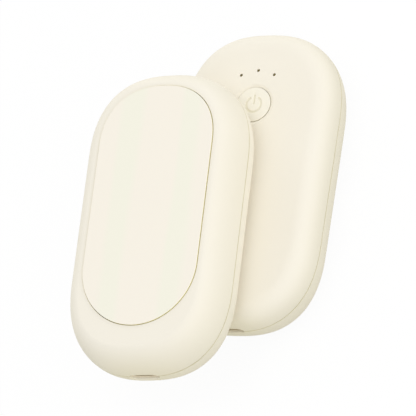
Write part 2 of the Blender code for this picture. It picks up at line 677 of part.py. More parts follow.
def make_lights(prefix, unit):
    """The light guide, a bar with a leg over each light and a pin through each pinhole, and the lights."""
    places = led_places()
    middle_y = (places[0][1] + places[1][1]) / 2
    half_depth = (places[1][1] - places[0][1]) / 2 + GUIDE_BAR_HALF_WIDTH
    bar = rounded_box(guide_reach, half_depth, GUIDE_BAR_HALF_WIDTH / 2)
    guide = add_object(prefix + "light_guide", prism("light_guide", bar, guide_bottom_z, guide_top_z),
                       "clear_olive", unit, (0.0, middle_y, 0.0))
    bar_middle_z = guide_top_z - GUIDE_BAR_THICKNESS / 2
    pin = circle(PIN_RADIUS, SMALL_ROUND_STEPS)
    leg = circle(GUIDE_LEG_RADIUS, SMALL_ROUND_STEPS)
    chip = rounded_box(LED_HALF_LENGTH, LED_HALF_WIDTH, LED_HALF_WIDTH / 4)
    for name, (x, y) in zip(("led_left", "led_middle", "led_right"), places):
        join(guide, prism("pin", pin, bar_middle_z, BUTTON_SIDE_HEIGHT - PIN_SINK), (x, y, 0.0))
        join(guide, prism("leg", leg, led_top_z + SEAT_GAP, bar_middle_z), (x, y, 0.0))
        add_object(prefix + name, prism(name, chip, led_bottom_z, led_top_z), "led_yellow", unit,
                   (x, y, 0.0))


def make_small_parts(prefix, unit):
    """The temperature bead, and the charging chip and inductor on the board."""
    low = floor_outer_z
    sensor = prism("temperature_sensor", circle(SENSOR_RADIUS, SMALL_ROUND_STEPS), low, low + SENSOR_HEIGHT)
    add_object(prefix + "temperature_sensor", sensor, "black_plastic", unit,
               (SENSOR_FROM_TAIL, -end_space_y, 0.0))
    low = board_top_z + SOLDER_GAP
    square = rounded_box(CHIP_HALF_WIDTH, CHIP_HALF_WIDTH, SMALL_CORNER_RADIUS)
    chip = prism("charge_chip", square, low, low + CHIP_HEIGHT)
    add_object(prefix + "charge_chip", chip, "black_plastic", unit, (0.0, button_y - CHIP_FROM_BUTTON, 0.0))
    block = rounded_box(INDUCTOR_HALF_WIDTH, INDUCTOR_HALF_WIDTH, INDUCTOR_CORNER_RADIUS)
    inductor = prism("power_inductor", block, low, low + INDUCTOR_HEIGHT)
    add_object(prefix + "power_inductor", inductor, "grey_powder", unit,
               (0.0, button_y - INDUCTOR_FROM_BUTTON, 0.0))


def make_unit(prefix, location, rotation):
    """Build one whole unit round an empty that stands at its middle on the parting plane."""
    unit = bpy.data.objects.new(prefix + "unit", None)
    bpy.context.scene.collection.objects.link(unit)
    make_plate_shell(prefix, unit)
    make_button_shell(prefix, unit)
    make_heat_plate(prefix, unit)
    make_heating_film(prefix, unit)
    make_magnets(prefix, unit)
    make_cell(prefix, unit)
    make_frame(prefix, unit)
    make_board(prefix, unit)
    make_screws(prefix, unit)
    make_socket(prefix, unit)
    make_button(prefix, unit)
    make_lights(prefix, unit)
    make_small_parts(prefix, unit)
    unit.location = location
    unit.rotation_euler = rotation


def main():
    """Build the pair: the rear unit plate down, the front unit plate up on top of it."""
    remove_old_objects()
    rear_z = -plate_outer_z
    make_unit("rear_", (0.0, 0.0, rear_z), (0.0, 0.0, 0.0))
    front_z = rear_z + 2 * BUTTON_SIDE_HEIGHT + UNIT_GAP
    front_turn = math.radians(FRONT_TURN_DEGREES)
    make_unit("front_", (FRONT_SHIFT_X, FRONT_SHIFT_Y, front_z), (0.0, math.pi, front_turn))
    bpy.context.view_layer.update()


main()
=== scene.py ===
"""The looks of a pair of electric hand warmers: fine shapes, finishes, studio light and camera.

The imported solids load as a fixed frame, and every piece here stands where they do. The meshes are
made once, in a unit's own frame: the origin at its middle on the parting plane, +Z towards the
button's face and +Y towards the button. Each unit then gets its copy.
"""

from math import atan2, copysign, cos, hypot, pi, radians, sin

import bmesh
import bpy
from bpy.props import FloatProperty, FloatVectorProperty, IntProperty, PointerProperty
from mathutils import Matrix, Quaternion, Vector


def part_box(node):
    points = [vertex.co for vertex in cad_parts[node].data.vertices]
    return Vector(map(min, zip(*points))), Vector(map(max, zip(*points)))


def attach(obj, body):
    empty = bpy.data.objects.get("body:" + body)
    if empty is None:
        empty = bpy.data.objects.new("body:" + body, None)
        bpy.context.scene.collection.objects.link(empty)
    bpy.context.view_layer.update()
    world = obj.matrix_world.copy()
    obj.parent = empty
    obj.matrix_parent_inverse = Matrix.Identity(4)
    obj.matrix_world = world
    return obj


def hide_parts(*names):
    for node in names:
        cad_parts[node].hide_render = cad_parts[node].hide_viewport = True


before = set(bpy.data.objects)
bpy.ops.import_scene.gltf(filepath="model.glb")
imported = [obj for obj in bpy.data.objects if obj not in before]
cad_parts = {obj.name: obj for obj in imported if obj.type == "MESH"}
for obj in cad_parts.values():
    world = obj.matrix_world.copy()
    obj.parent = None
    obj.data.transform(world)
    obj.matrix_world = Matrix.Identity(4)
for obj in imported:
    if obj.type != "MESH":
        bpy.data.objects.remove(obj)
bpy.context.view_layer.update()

bl_info = {
    "name": "Hand warmer looks",
    "version": (1, 0, 0),
    "blender": (4, 5, 0),
    "location": "3D View > Sidebar > Hand warmer",
    "description": "Fine shapes, finishes, light and camera for a pair of electric hand warmers",
    "category": "Object",
}

# The two units, and the bodies that their casings and their buttons ride on
UNITS = {
    "rear": {"casing": "root", "button": "rear_button"},
    "front": {"casing": "front_unit", "button": "front_button"},
}

# Counts of steps along the curves
END_STEPS = 72
SHOULDER_STEPS = 20
INNER_STEPS = 6
ROUND_STEPS = 5
CIRCLE_STEPS = 96
CAP_STEPS = 144
SMALL_CIRCLE_STEPS = 32
SLOT_STEPS = 12
DISH_STEPS = 8
SYMBOL_RINGS = 44
SHARP_ANGLE = radians(32)

# Reach of a cutting tool past what it cuts, and the fit between seated pieces
OVERRUN = 0.001
SEAT_GAP = 0.0003
SEAM_GAP = 0.0003

# Sizes as shares of others
POST_BORE = 0.75  # of the plunger's radius
POST_WALL = 1.4  # of the rim
CUP_HEIGHT = 2  # of the rim
BAR_THICKNESS = 2.5  # of a pin's radius, as are the next three
BAR_CORNER = 2
LEG_RADIUS = 2.25
PIN_ROUND = 1 / 3
TONGUE_NOSE = 0.7  # of half the tongue's thickness, as is the next
TONGUE_CORNER = 1 / 3
CONTACT_START = 1.6  # of the contacts' pitch

# Turns what is stacked along Z to point into the port
INTO_PORT = Matrix.Rotation(-pi / 2, 4, "X")


def middle(node):
    """The middle of a solid's box."""
    low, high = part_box(node)
    return (low + high) / 2


def spot(node):
    """A solid's place seen from above."""
    return (middle(node).x, middle(node).y, 0)


def half_size(node):
    """Half the sides of a solid's box."""
    low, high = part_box(node)
    return (high - low) / 2


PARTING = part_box("rear_plate_shell")[1].z + SEAM_GAP / 2


def heights(node):
    """How high a solid of the rear unit starts and ends over the parting plane."""
    low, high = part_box(node)
    return low.z - PARTING, high.z - PARTING


# Heights and places that the rear unit's solids give, in the unit's own frame
HALF_WIDTH = half_size("rear_button_shell").x
HALF_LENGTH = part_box("rear_button_shell")[1].y - middle("rear_battery_cell").y
CASING_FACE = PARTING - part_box("rear_plate_shell")[0].z
PLATE_FACE, PLATE_BACK = heights("rear_heat_plate")
PLATE_HALF_WIDTH = half_size("rear_heat_plate").x
PLATE_HALF_LENGTH = half_size("rear_heat_plate").y
PLATE_Y = middle("rear_heat_plate").y
FLOOR_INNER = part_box("rear_insulation_pad")[0].z - SEAT_GAP - PARTING
SENSOR_MIDDLE = middle("rear_temperature_sensor")
SENSOR_RADIUS = half_size("rear_temperature_sensor").x
BUTTON_FACE = heights("rear_button_shell")[1]
BOARD_TOP = heights("rear_circuit_board")[1]
CAP_LOW, CAP_HIGH = heights("rear_button_cap")
CAP_Y = middle("rear_button_cap").y
FLANGE_RADIUS = half_size("rear_button_cap").x
PLUNGER_RADIUS = half_size("rear_switch_plunger").x
SOCKET_MIDDLE = middle("rear_usb_socket_shell") - Vector((0, 0, PARTING))
SOCKET_HALF = half_size("rear_usb_socket_shell")
TONGUE_MIDDLE = middle("rear_usb_socket_tongue") - Vector((0, 0, PARTING))
TONGUE_HALF = half_size("rear_usb_socket_tongue")
LED_NODES = ("rear_led_left", "rear_led_middle", "rear_led_right")
SCREW_NODES = ("rear_frame_screw_upper", "rear_frame_screw_lower")
MAGNET_NODES = ("rear_magnet_upper", "rear_magnet_lower")


def length(name, default, description):
    """A length that a user may change."""
    return FloatProperty(name=name, description=description, default=default, unit="LENGTH", precision=5)


def number(name, default, description):
    """A plain number that a user may change."""
    return FloatProperty(name=name, description=description, default=default, precision=3)


def colour(name, default, description):
    """A linear colour that a user may change."""
    return FloatVectorProperty(name=name, description=description, default=default, subtype="COLOR",
                               size=3, min=0, max=1)


class CasingSettings(bpy.types.PropertyGroup):
    """Sizes and colours of the casing's two halves."""

    straight_half: length("Straight half", 0.0193, "Half of the casing's straight stretch")
    end_fullness: number("End fullness", 2.5, "Power of the curve round the ends; 2 is an ellipse")
    plate_shoulder: length("Plate shoulder", 0.00595, "Width of the shoulder on the plate's side")
    plate_fullness: number("Plate fullness", 1.9, "Power of the shoulder's curve on the plate's side")
    button_shoulder: length("Button shoulder", 0.0070, "Width of the shoulder on the button's side")
    button_fullness: number("Button fullness", 2.63, "Power of the shoulder's curve on the button's side")
    wall: length("Wall", 0.0020, "Thickness of the casing")
    inner_share: number("Inner share", 0.92, "Width of the inner shoulder as a share of the outer one")
    floor: length("Floor", 0.0016, "Thickness of the floor behind the plate")
    rim: length("Rim", 0.0009, "Thickness of the plate half's rim beside the lip")
    lip_height: length("Lip height", 0.0015, "Reach of the button half's lip into the other half")
    seam: length("Seam", 0.00014, "Gap between the halves at the surface")
    seam_round: length("Seam round", 0.00024, "Radius of both edges along the parting line")
    recess_round: length("Recess round", 0.0001, "Radius of the edge round the plate's recess")
    tail_slot: length("Tail slot", 0.0066, "Length of the slot for the film's tail")
    tail_slot_width: length("Tail slot width", 0.0009, "Width of the slot for the film's tail")
    cream: colour("Cream", (0.888, 0.847, 0.748), "Colour of the moulding")
    warm: colour("Warm cream", (0.874, 0.824, 0.706), "Tone that the moulding drifts to")
    # Painted shade: the tone that makes the port's end darker and warmer
    handled: colour("Handled cream", (0.868, 0.808, 0.620), "Tone of the end that plugs are pushed into")
    # Dusty tone and painted shade, laid along the seams and in the button's lines and gap
    dust: colour("Dust", (0.440, 0.390, 0.090), "Tone of what gathers in the joints")


class PlateSettings(bpy.types.PropertyGroup):
    """Sizes and colour of the heating plate."""

    button_fullness: number("Button end fullness", 2.3, "Power of the curve at the button's end")
    port_fullness: number("Port end fullness", 2.0, "Power of the curve at the port's end")
    groove: length("Groove", 0.00015, "Width of the groove round the plate")
    edge_round: length("Edge round", 0.00016, "Radius of the plate's outer edge")
    paint: colour("Paint", (0.907, 0.857, 0.755), "Colour of the plate's coating")
    drift: colour("Drift", (0.882, 0.865, 0.743), "Tone of the coating's long bands")
    # Painted shade with a dusty tone, laid on the plate's side in the groove
    side: colour("Side", (0.850, 0.785, 0.420), "Tone of the dusty side in the groove")
    band_pitch: length("Band pitch", 0.0195, "Distance from one band to the next")
    band_place: length("Band place", 0.0088, "Distance of a band from the plate's middle")


class ButtonSettings(bpy.types.PropertyGroup):
    """Sizes and colours of the button, its dish and the indicator lights."""

    radius: length("Radius", 0.0056, "Radius of the cap")
    gap: length("Gap", 0.00012, "Gap round the cap")
    edge_round: length("Edge round", 0.00008, "Radius of the cap's upper edge")
    flange: length("Flange", 0.0007, "Thickness of the flange that holds the cap in")
    dish_width: length("Dish width", 0.0012, "Width of the dish round the cap")
    dish_depth: length("Dish depth", 0.00045, "Depth of the dish at the cap")
    symbol_radius: length("Symbol radius", 0.00245, "Radius of the power symbol's ring")
    symbol_line: length("Symbol line", 0.0007, "Width of the symbol's lines")
    symbol_depth: length("Symbol depth", 0.00022, "Depth of the symbol's lines")
    symbol_slope: length("Symbol slope", 0.00030, "Width of the slope at the lines' sides")
    symbol_bar: length("Symbol bar", 0.0028, "Length of the symbol's bar")
    symbol_opening: FloatProperty(name="Symbol opening", description="Opening of the symbol's ring",
                                  default=radians(70), subtype="ANGLE")
    pin_radius: length("Pin radius", 0.0004, "Radius of the indicator pins")
    pin_clearance: length("Pin clearance", 0.0001, "Gap round an indicator pin")
    cream: colour("Cream", (0.896, 0.860, 0.748), "Colour of the cap")
    lens: colour("Lens", (0.118, 0.090, 0.006), "Colour of the smoked light guide")


class PortSettings(bpy.types.PropertyGroup):
    """Sizes of the charging port."""

    clearance: length("Clearance", 0.0001, "Gap between the sleeve and its mouth in the casing")
    mouth_round: length("Mouth round", 0.0008, "Radius of the mouth's edge")
    sink: length("Sink", 0.0003, "How far the sleeve's mouth lies behind its solid's")
    wall: length("Wall", 0.0004, "Thickness of the sleeve")
    sleeve_round: length("Sleeve round", 0.00015, "Radius of the sleeve's edges")
    contacts: IntProperty(name="Contacts", description="Contacts on each side of the tongue", default=12)
    pitch: length("Pitch", 0.0005, "Distance from one contact to the next")
    contact_width: length("Contact width", 0.00026, "Width of a contact")
    contact_length: length("Contact length", 0.0036, "Length of a contact")
    contact_height: length("Contact height", 0.00005, "How far a contact stands over the tongue")


class StageSettings(bpy.types.PropertyGroup):
    """The camera, the lamps and the ground."""

    azimuth: number("Azimuth", 52.889, "Degrees round the pair, with 0 looking along +Y")
    elevation: number("Elevation", 57.524, "Degrees over the horizon")
    roll: number("Roll", 48.300, "Degrees that the camera leans")
    distance: length("Distance", 1.1966, "From the camera to the point that it looks at")
    aim: FloatVectorProperty(name="Aim", description="Point that the camera looks at",
                             default=(-0.00486, -0.01455, 0.03030), subtype="TRANSLATION")
    lens: number("Lens", 346.15, "Focal length in millimetres on a 36 mm sensor")
    sky: number("Sky", 0.733, "Strength of the even light from all round")
    floor_radius: length("Floor radius", 4.0, "Radius of the ground")
    floor_white: number("Floor white", 0.93, "Share of plain white in how the ground shows")
    card: colour("Card", (0.485, 0.468, 0.335), "Colour of the ground under the lamps")


# How far off and how wide the lamps are, and each one's azimuth, elevation and power
LAMP_DISTANCE = 1.2
LAMP_WIDTH = 0.7
LAMPS = {
    "top_softbox": (0, 88, 2.03),
    "near_softbox": (45, 15, 3.38),
    "right_softbox": (135, 15, 3.10),
    "back_softbox": (180, 15, 0.60),
    "left_softbox": (225, 15, 1.91),
    "far_softbox": (270, 15, 0.80),
}


def given(group):
    """What the scene gives for a group of settings, such as the casing's."""
    return getattr(bpy.context.scene, f"warmer_{group}")


def long_outline(half_width, straight_half, end_reach, button_fullness, port_fullness):
    """Outline with straight sides and full ends, counter-clockwise from the button's end."""
    points = []
    for side, fullness in ((1, button_fullness), (-1, port_fullness)):
        for step in range(END_STEPS + 1):
            angle = pi * step / END_STEPS
            cosine = cos(angle)
            across = copysign(abs(cosine) ** (2 / fullness), cosine)
            along = abs(sin(angle)) ** (2 / fullness) if 0 < step < END_STEPS else 0.0
            points.append((side * half_width * across, side * (straight_half + end_reach * along)))
    return points


def casing_outline(inset):
    """The casing's outline, drawn in by an inset."""
    casing = given("casing")
    end_reach = HALF_LENGTH - casing.straight_half
    fullness = casing.end_fullness
    return long_outline(HALF_WIDTH - inset, casing.straight_half, end_reach - inset, fullness, fullness)


def plate_outline(outset):
    """The heating plate's outline, grown by an outset."""
    straight_half = given("casing").straight_half
    end_reach = PLATE_HALF_LENGTH - straight_half
    plate = given("plate")
    centred = long_outline(PLATE_HALF_WIDTH + outset, straight_half, end_reach + outset,
                           plate.button_fullness, plate.port_fullness)
    return [(x, y + PLATE_Y) for x, y in centred]


def slot_outline(half_x, half_z):
    """An outline with round ends, such as the charging port's, counter-clockwise."""
    points = []
    for side in (1, -1):
        for step in range(SLOT_STEPS + 1):
            angle = pi * (step / SLOT_STEPS - 0.5)
            points.append((side * (half_x - half_z + half_z * cos(angle)),
                           side * half_z * sin(angle)))
    return points


def rounded_box(half_x, half_y, corner):
    """A rectangle with round corners, counter-clockwise."""
    points = []
    for quarter, (side_x, side_y) in enumerate(((1, 1), (-1, 1), (-1, -1), (1, -1))):
        for step in range(ROUND_STEPS + 1):
            angle = pi / 2 * (quarter + step / ROUND_STEPS)
            points.append((side_x * (half_x - corner) + corner * cos(angle),
                           side_y * (half_y - corner) + corner * sin(angle)))
    return points


def quarter_round(steps=ROUND_STEPS):
    """Pairs of sine and cosine from 0 to a right angle."""
    angles = [pi / 2 * step / steps for step in range(steps + 1)]
    return [(sin(angle), cos(angle)) for angle in angles]


def rounded_edge(radius):
    """Pairs of inset and drop along a rounded edge, from its side up to its top."""
    return [(radius * (1 - cosine), radius * (1 - sine)) for sine, cosine in quarter_round()]


def shoulder(width, height, fullness, steps, start):
    """Pairs of inset and height of a rounded shoulder, from a start height up to the face."""
    pairs = []
    for sine, cosine in quarter_round(steps):
        inset = width * (1 - max(cosine, 0) ** (2 / fullness))
        pairs.append((inset, height * sine ** (2 / fullness)))
    return [(0.0, start)] + [(inset, z) for inset, z in pairs if z > start + SEAM_GAP / 2]


def finished(shape, turn=None):
    """Turn a bmesh into a smooth mesh with its true edges kept sharp."""
    bmesh.ops.recalc_face_normals(shape, faces=shape.faces)
    if turn:
        bmesh.ops.transform(shape, matrix=turn, verts=shape.verts)
    mesh = bpy.data.meshes.new("part")
    shape.to_mesh(mesh)
    shape.free()
    return shaded(mesh)


def shaded(mesh):
    """Shade a mesh smooth, with its true edges kept sharp."""
    mesh.shade_smooth()
    mesh.set_sharp_from_angle(angle=SHARP_ANGLE)
    return mesh


def join_rows(shape, rows):
    """Add the faces between rows of as many points each, and close both ends."""
    for lower, upper in zip(rows, rows[1:]):
        for index in range(len(lower)):
            after = (index + 1) % len(lower)
            shape.faces.new((lower[index], lower[after], upper[after], upper[index]))
    shape.faces.new(rows[0][::-1])
    shape.faces.new(rows[-1])


def ring_stack(rings, turn=None):
    """Closed mesh through a stack of outlines with as many points each."""
    shape = bmesh.new()
    join_rows(shape, [[shape.verts.new((x, y, z)) for x, y in outline] for outline, z in rings])
    return finished(shape, turn)


def turned(profile, steps=SMALL_CIRCLE_STEPS, sink=None):
    """Closed mesh turned from pairs of radius and height that start and end on the axis."""
    shape = bmesh.new()
    rows = []
    for radius, z in profile:
        row = []
        for step in range(steps if radius else 1):
            angle = 2 * pi * step / steps
            x, y = radius * cos(angle), radius * sin(angle)
            row.append(shape.verts.new((x, y, z - (sink(x, y, z) if sink else 0.0))))
        rows.append(row)
    for lower, upper in zip(rows, rows[1:]):
        for index in range(steps):
            after = (index + 1) % steps
            corners = [lower[index % len(lower)], lower[after % len(lower)],
                       upper[after % len(upper)], upper[index % len(upper)]]
            shape.faces.new(list(dict.fromkeys(corners)))
    return finished(shape)


def moved(mesh, place):
    """The mesh, moved to its place."""
    mesh.transform(Matrix.Translation(place))
    return mesh


def added(name, data):
    """A new object in the scene."""
    thing = bpy.data.objects.new(name, data)
    bpy.context.scene.collection.objects.link(thing)
    return thing


def combined(mesh, tools):
    """The mesh after its tools. Each is an operation, a mesh and a place."""
    body = added("blank", mesh)
    helpers = [body]
    for operation, tool_mesh, place in tools:
        tool = added("tool", tool_mesh)
        tool.location = place
        helpers.append(tool)
        step = body.modifiers.new("step", "BOOLEAN")
        step.operation = operation
        step.solver = "EXACT"
        step.object = tool
    bpy.context.view_layer.update()
    result = bpy.data.meshes.new_from_object(body.evaluated_get(bpy.context.evaluated_depsgraph_get()))
    for helper in helpers:
        bpy.data.objects.remove(helper, do_unlink=True)
    return shaded(result)


def unit_matrix(unit):
    """A unit's own frame in the world."""
    cell, cap = middle(f"{unit}_battery_cell"), middle(f"{unit}_button_cap")
    face = Vector((0, 0, copysign(1, cap.z - cell.z)))
    towards_button = Vector((cap.x - cell.x, cap.y - cell.y, 0)).normalized()
    across = towards_button.cross(face)
    low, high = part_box(f"{unit}_plate_shell")
    rim = high.z if face.z > 0 else low.z
    matrix = Matrix((across, towards_button, face)).transposed().to_4x4()
    matrix.translation = (cell.x, cell.y, rim + face.z * SEAM_GAP / 2)
    return matrix


def made(finish_of, unit=None):
    """The material of a finish, named after the function that lays it on."""
    finish = Finish(finish_of.__name__, unit)
    finish_of(finish)
    return finish.owner


def for_units(finish_of):
    """A finish's material for each unit."""
    return {unit: made(finish_of, unit) for unit in UNITS}


def place_in_units(name, mesh, finishes, rides="casing", stands_for=None, even=False):
    """Give each unit its copy of a mesh, in place of the solid that it stands for."""
    for unit, bodies in UNITS.items():
        piece = added(f"{unit}_{name}", mesh.copy())
        piece.data.transform(unit_matrix(unit))
        piece.data.materials.clear()
        piece.data.materials.append(finishes[unit])
        if even:
            piece.modifiers.new("even_normals", "WEIGHTED_NORMAL").keep_sharp = True
        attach(piece, bodies[rides])
        if stands_for:
            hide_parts(f"{unit}_{stands_for}")


def by_math(operation, reflected=False):
    """A method that adds a Math node on a field and its other terms, which come first if reflected."""
    def method(field, *others):
        terms = (*others, field) if reflected else (field, *others)
        return field.recipe.node("ShaderNodeMath", {"operation": operation}, dict(enumerate(terms)))
    return method


class Field:
    """A value, colour or vector in a finish. Arithmetic on it adds Math nodes."""

    def __init__(self, recipe, output):
        self.recipe = recipe
        self.output = output

    __add__ = __radd__ = by_math("ADD")
    __sub__ = by_math("SUBTRACT")
    __rsub__ = by_math("SUBTRACT", reflected=True)
    __mul__ = __rmul__ = by_math("MULTIPLY")
    __truediv__ = by_math("DIVIDE")
    __pow__ = by_math("POWER")
    __abs__ = by_math("ABSOLUTE")
    above = by_math("GREATER_THAN")  # 1 over a limit, else 0
    larger = by_math("MAXIMUM")
    to_and_fro = by_math("PINGPONG")  # folded to run from 0 to a reach and back

    def limited(self):
        """The value, kept from 0 to 1."""
        return self.recipe.node("ShaderNodeClamp", {}, {"Value": self})


class Recipe:
    """The nodes of a material or of the world."""

    def __init__(self, owner):
        owner.use_nodes = True
        self.owner = owner
        self.tree = owner.node_tree
        self.tree.nodes.clear()

    def node(self, kind, settings, sockets, out=0):
        """Add a node: its settings first, then its sockets' values or links. Returns one output."""
        new = self.tree.nodes.new(kind)
        for name, value in settings.items():
            setattr(new, name, value)
        for name, value in sockets.items():
            if isinstance(value, Field):
                self.tree.links.new(value.output, new.inputs[name])
            else:
                new.inputs[name].default_value = value
        return Field(self, new.outputs[out]) if new.outputs else None

    def seen(self):
        """1 for what the camera, gloss and glass see, and 0 for what lights the pair."""
        camera, gloss, glass = [self.node("ShaderNodeLightPath", {}, {}, ray) for ray in (
            "Is Camera Ray", "Is Glossy Ray", "Is Transmission Ray")]
        return camera.larger(gloss).larger(glass)


class Finish(Recipe):
    """The nodes of one material, in a unit's own frame if it has one."""

    def __init__(self, name, unit):
        super().__init__(bpy.data.materials.new(f"{unit}_{name}" if unit else name))
        self.place = self.node("ShaderNodeTexCoord", {}, {}, "Object")
        if unit:
            matrix = unit_matrix(unit)
            self.place = self.node("ShaderNodeMapping", {"vector_type": "TEXTURE"}, {
                "Vector": self.place, "Location": matrix.translation, "Rotation": matrix.to_euler()})

    def axis(self, name):
        """One part of the place."""
        return self.node("ShaderNodeSeparateXYZ", {}, {"Vector": self.place}, name)

    def noise(self, feature, detail=2.0, roughness=0.5, stretch=(1, 1, 1)):
        """Soft noise from 0 to 1 with features of about a length, stretched along an axis by a factor."""
        scale = [1 / (feature * factor) for factor in stretch]
        vector = self.node("ShaderNodeVectorMath", {"operation": "MULTIPLY"}, {0: self.place, 1: scale})
        return self.node("ShaderNodeTexNoise", {}, {
            "Vector": vector, "Scale": 1.0, "Detail": detail, "Roughness": roughness})

    def cells(self, feature, kind="F1"):
        """Distance in cells of about a length: to their middles, or to their edges."""
        return self.node("ShaderNodeTexVoronoi", {"feature": kind}, {
            "Vector": self.place, "Scale": 1 / feature}, "Distance")

    def mix(self, mask, first, second):
        """A colour between two, by a mask."""
        pair = [tone if isinstance(tone, Field) else (*tone, 1) for tone in (first, second)]
        return self.node("ShaderNodeMix", {"data_type": "RGBA"}, {0: mask, 6: pair[0], 7: pair[1]}, 2)

    def surface(self, tone, roughness, height, depth, **steady):
        """End in a Principled shader. The height is from 0 to 1, and steady values are even all over."""
        normal = self.node("ShaderNodeBump", {}, {"Height": height, "Strength": 1.0, "Distance": depth})
        sockets = {"Base Color": tone, "Roughness": roughness, "Normal": normal}
        sockets.update({name.replace("_", " "): value for name, value in steady.items()})
        shader = self.node("ShaderNodeBsdfPrincipled", {}, sockets)
        self.node("ShaderNodeOutputMaterial", {}, {"Surface": shader})

    def plain(self, fine, tones, roughness, depth, broad=None, dulled=0.0, **steady):
        """End in one noise for height and gloss, and a broad one for tone, each as noise() takes it."""
        grain = self.noise(*fine)
        patches = self.noise(*broad) if broad else grain
        least, swing = roughness
        gloss = least + swing * grain
        if dulled:
            gloss = gloss + dulled * patches
        self.surface(self.mix(patches, *tones), gloss, grain, depth, **steady)


def cream_casing(finish):
    """Satin cream moulding: fine spark-eroded grain, a slow drift of tone, a dusty tone and painted shade
    along the parting line, and painted shade at the port's end.
    """
    casing = given("casing")
    dust_and_shade_gaps, end_power = 1.35, 12
    grain = finish.noise(0.00018)
    ripple = finish.noise(0.0026, 1.0)
    drift = finish.noise(0.030, 1.5)
    handled = finish.noise(0.0060, 5.0, 0.6)
    # Dusty tone and painted shade in a band along the parting line
    seam_dust_and_shade = (dust_and_shade_gaps - abs(finish.axis("Z")) / SEAM_GAP).limited() * (0.20 + handled * 0.4)
    end_reach = HALF_LENGTH - casing.straight_half
    # Painted shade: darker and warmer towards the port's end
    port_end_shade = (0 - (finish.axis("Y") + casing.straight_half) / end_reach).limited()
    tone = finish.mix(drift * 0.7, casing.cream, casing.warm)
    tone = finish.mix(port_end_shade ** end_power * 0.6, tone, casing.handled)
    tone = finish.mix(seam_dust_and_shade, tone, casing.dust)
    roughness = 0.56 + 0.06 * handled + 0.06 * grain
    height = grain * 0.35 + ripple * 0.65
    finish.surface(tone, roughness, height, depth=1e-5, IOR=1.49)


def coated_plate(finish):
    """Smooth cream coating on rolled aluminium: faint bands of tone, fine powder, a dusty tone and painted
    shade on its side.
    """
    plate = given("plate")
    half_band, band_slope, untinted_edge_share = 0.16, 9, 0.7
    wobble = finish.noise(0.0090, 2.0, 0.5, (1, 6, 1)) - 0.5
    pass_share = (finish.axis("X") - plate.band_place) / plate.band_pitch + wobble * 0.25
    bands = ((half_band - pass_share.to_and_fro(0.5)) * band_slope + 0.5).limited()
    powder = finish.noise(0.00026, 2.0)
    ripple = finish.noise(0.0020, 1.0)
    handled = finish.noise(0.0080, 5.0, 0.6)
    # Painted shade with a dusty tone on the plate's side in the groove
    side = ((finish.axis("Z") - PLATE_FACE) / plate.edge_round - untinted_edge_share).limited()
    tone = finish.mix(bands, plate.paint, plate.drift)
    tone = finish.mix(side, tone, plate.side)
    roughness = 0.36 + 0.05 * handled + 0.04 * powder
    height = powder * 0.3 + ripple * 0.7
    finish.surface(tone, roughness, height, depth=6e-6, IOR=1.5)


def cream_cap(finish):
    """Satin cream moulding of the button, with a dusty tone and painted shade in the symbol's lines and on
    its side.
    """
    button = given("button")
    untinted_depths = 1.2
    grain = finish.noise(0.00016)
    handled = finish.noise(0.0030, 5.0, 0.6)
    # Dusty tone and painted shade in the symbol's lines and on the cap's side within its gap
    depths = (CAP_HIGH - finish.axis("Z")) / button.symbol_depth
    lines = depths.limited() * (0.08 + handled * 0.16)
    side = (depths - untinted_depths).limited()
    tone = finish.mix(lines.larger(side), button.cream, given("casing").dust)
    roughness = 0.54 + 0.05 * handled + 0.04 * grain
    finish.surface(tone, roughness, grain, depth=4e-6, IOR=1.49)


def smoked_lens(finish):
    """Smoked clear moulding of the light guide, dark while the lights are off, with faint flow streaks."""
    lens = given("button").lens
    finish.plain(fine=(0.0004, 3.0, 0.5, (1, 1, 6)), tones=(lens, [part * 1.8 for part in lens]),
                 roughness=(0.30, 0.12), depth=3e-6, IOR=1.49)


def stamped_steel(finish):
    """Stamped steel with fine draw lines along the sheet and dull spots."""
    finish.plain(fine=(0.00008, 3.0, 0.6, (1, 30, 1)), broad=(0.0012, 4.0, 0.6), dulled=0.10,
                 tones=((0.600, 0.600, 0.610), (0.470, 0.465, 0.455)),
                 roughness=(0.24, 0.14), depth=2e-6, Metallic=1.0)


def warm_nickel(finish):
    """Satin nickel of the port's sleeve, warm in tone, with fine draw lines into the port."""
    finish.plain(fine=(0.00009, 3.0, 0.6, (1, 25, 1)), broad=(0.0014, 4.0, 0.6), dulled=0.08,
                 tones=((0.860, 0.780, 0.620), (0.780, 0.690, 0.520)),
                 roughness=(0.34, 0.12), depth=2e-6, Metallic=1.0)


def black_resin(finish):
    """Moulded black resin with a dull fine grain."""
    finish.plain(fine=(0.00009, 3.0), broad=(0.0009, 3.0),
                 tones=((0.013, 0.013, 0.014), (0.028, 0.028, 0.029)),
                 roughness=(0.42, 0.16), depth=5e-6, IOR=1.55)


def plated_gold(finish):
    """Gold plating on the port's contacts, a little rubbed where a plug slides."""
    finish.plain(fine=(0.0003, 3.0, 0.6, (1, 8, 1)), tones=((0.830, 0.610, 0.250), (0.700, 0.520, 0.270)),
                 roughness=(0.20, 0.18), depth=1e-6, Metallic=1.0)


def amber_film(finish):
    """Amber film over the heater's track, which runs to and fro across the plate."""
    track_pitch, half_gap, track_slope, track_reach = 0.0016, 0.16, 12, 0.85
    margin = abs(finish.axis("X")).above(PLATE_HALF_WIDTH * track_reach)
    rows = (finish.axis("Y") / track_pitch).to_and_fro(0.5)
    track = ((rows - half_gap) * track_slope).limited() * (1 - margin)
    creases = finish.noise(0.0035, 4.0, 0.55)
    tone = finish.mix(track, (0.520, 0.215, 0.040), (0.300, 0.110, 0.030))
    height = track * 0.6 + creases * 0.4
    finish.surface(tone, 0.24 + 0.12 * creases, height, depth=4e-5, Coat_Weight=0.4)


